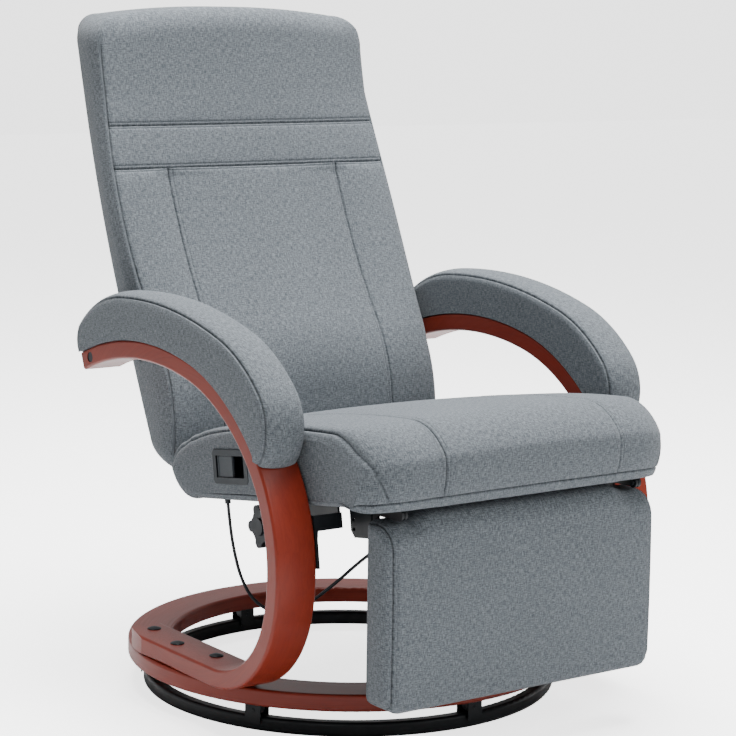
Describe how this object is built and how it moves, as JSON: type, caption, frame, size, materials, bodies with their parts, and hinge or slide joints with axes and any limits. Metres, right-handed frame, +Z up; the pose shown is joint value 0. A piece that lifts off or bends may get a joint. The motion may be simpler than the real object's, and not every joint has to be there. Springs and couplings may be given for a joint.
{
  "type": "swivel recliner chair",
  "caption": "Padded swivel recliner with a high back, two bent-wood loop arms, a lift-up footrest and a wood ring base that turns on rollers over a steel floor ring.",
  "frame": {"origin": "on the floor under the middle of the chair, on the swivel axis", "axes": "+Z up along the swivel axis, -Y the way the sitter faces, +X to the sitter's left"},
  "size_m": [0.692, 0.9032, 1.0409],
  "materials": {
    "upholstery": "heathered linen weave",
    "back_cloth": "plain lining cloth",
    "wood": "satin red-brown stain",
    "black_steel": "black powder coat",
    "black_plastic": "fine matte texture",
    "roller_plastic": "smooth nylon",
    "zinc": "bright zinc plate"
  },
  "bodies": {
    "floor_base": {"floor_ring": "black_steel"},
    "swivel": {"arm_left": "wood", "arm_pad_left": "upholstery", "arm_pad_right": "upholstery", "arm_right": "wood", "foot_bolt_left_1": "black_plastic", "foot_bolt_left_2": "black_plastic", "foot_bolt_left_3": "black_plastic", "foot_bolt_right_1": "black_plastic", "foot_bolt_right_2": "black_plastic", "foot_bolt_right_3": "black_plastic", "glide_plate_left": "black_steel", "glide_plate_right": "black_steel", "pivot_bolt_left": "zinc", "pivot_bolt_right": "zinc", "roller_bracket_1": "black_steel", "roller_bracket_2": "black_steel", "roller_bracket_3": "black_steel", "roller_bracket_4": "black_steel", "roller_bracket_5": "black_steel", "roller_bracket_6": "black_steel", "wood_ring": "wood"},
    "seat": {"clamp_bolt_left": "zinc", "clamp_bolt_right": "zinc", "hinge_plate_left": "black_steel", "hinge_plate_right": "black_steel", "lock_housing": "black_steel", "paddle_bezel": "black_plastic", "release_cable": "black_plastic", "seat_cushion": "upholstery", "seat_front_tube": "black_steel", "seat_rail_left": "black_steel", "seat_rail_right": "black_steel", "seat_rear_tube": "black_steel"},
    "back": {"back_bracket_left": "black_steel", "back_bracket_right": "black_steel", "back_cushion": "upholstery", "back_lever_left": "black_steel", "back_lever_right": "black_steel", "back_lower_tube": "black_steel", "back_panel": "back_cloth", "back_side_tube_left": "black_steel", "back_side_tube_right": "black_steel", "back_top_tube": "black_steel"},
    "footrest": {"footrest_keeper": "black_steel", "footrest_leaf_left": "black_steel", "footrest_leaf_right": "black_steel", "footrest_panel": "upholstery"},
    "paddle": {"paddle": "black_plastic"},
    "lock_lever": {"lock_lever": "black_plastic"},
    "knob_right": {"knob_right": "black_plastic"},
    "knob_left": {"knob_left": "black_plastic"},
    "roller_1": {"roller_1": "roller_plastic"},
    "roller_2": {"roller_2": "roller_plastic"},
    "roller_3": {"roller_3": "roller_plastic"},
    "roller_4": {"roller_4": "roller_plastic"},
    "roller_5": {"roller_5": "roller_plastic"},
    "roller_6": {"roller_6": "roller_plastic"}
  },
  "joints": [
    {"name": "base_swivel", "type": "hinge", "parent": "floor_base", "child": "swivel", "pos_m": [0, 0, 0.045], "axis": [0, 0, 1], "continuous": true},
    {"name": "roller_1_spin", "type": "hinge", "parent": "swivel", "child": "roller_1", "pos_m": [0, -0.312, 0.0315], "axis": [0, -1, 0], "continuous": true},
    {"name": "roller_2_spin", "type": "hinge", "parent": "swivel", "child": "roller_2", "pos_m": [0.2702, -0.156, 0.0315], "axis": [0.866, -0.5, 0], "continuous": true},
    {"name": "roller_3_spin", "type": "hinge", "parent": "swivel", "child": "roller_3", "pos_m": [0.2702, 0.156, 0.0315], "axis": [0.866, 0.5, 0], "continuous": true},
    {"name": "roller_4_spin", "type": "hinge", "parent": "swivel", "child": "roller_4", "pos_m": [0, 0.312, 0.0315], "axis": [0, 1, 0], "continuous": true},
    {"name": "roller_5_spin", "type": "hinge", "parent": "swivel", "child": "roller_5", "pos_m": [-0.2702, 0.156, 0.0315], "axis": [-0.866, 0.5, 0], "continuous": true},
    {"name": "roller_6_spin", "type": "hinge", "parent": "swivel", "child": "roller_6", "pos_m": [-0.2702, -0.156, 0.0315], "axis": [-0.866, -0.5, 0], "continuous": true},
    {"name": "back_recline", "type": "hinge", "parent": "swivel", "child": "back", "pos_m": [0, 0.215, 0.506], "axis": [-1, 0, 0], "range_deg": [0, 25]},
    {"name": "seat_glide", "type": "slide", "parent": "swivel", "child": "seat", "axis": [0, -0.9895, 0.1444], "range_m": [0, 0.07938]},
    {"name": "footrest_lift", "type": "hinge", "parent": "seat", "child": "footrest", "pos_m": [0, -0.425, 0.362], "axis": [-1, 0, 0], "range_deg": [0, 78]},
    {"name": "paddle_pull", "type": "hinge", "parent": "seat", "child": "paddle", "pos_m": [-0.2695, -0.04967, 0.37219], "axis": [0, -0.1444, -0.9895], "range_deg": [0, 25], "stiffness_Nm_per_rad": 0.3, "springref_deg": -2.86},
    {"name": "lock_release", "type": "hinge", "parent": "seat", "child": "lock_lever", "pos_m": [-0.074, -0.32738, 0.34903], "axis": [1, 0, 0], "range_deg": [0, 25]},
    {"name": "knob_right_turn", "type": "hinge", "parent": "seat", "child": "knob_right", "pos_m": [-0.245, -0.13096, 0.294], "axis": [-1, 0, 0], "range_deg": [0, 180]},
    {"name": "knob_left_turn", "type": "hinge", "parent": "seat", "child": "knob_left", "pos_m": [0.245, -0.13096, 0.294], "axis": [1, 0, 0], "range_deg": [0, 180]}
  ],
  "couplings": [
    {"joint": "roller_1_spin", "follows": "base_swivel", "ratio": -32.842},
    {"joint": "roller_2_spin", "follows": "base_swivel", "ratio": -32.842},
    {"joint": "roller_3_spin", "follows": "base_swivel", "ratio": -32.842},
    {"joint": "roller_4_spin", "follows": "base_swivel", "ratio": -32.842},
    {"joint": "roller_5_spin", "follows": "base_swivel", "ratio": -32.842},
    {"joint": "roller_6_spin", "follows": "base_swivel", "ratio": -32.842},
    {"joint": "seat_glide", "follows": "back_recline", "m_per_rad": 0.18193},
    {"joint": "lock_release", "follows": "paddle_pull", "ratio": 1}
  ]
}
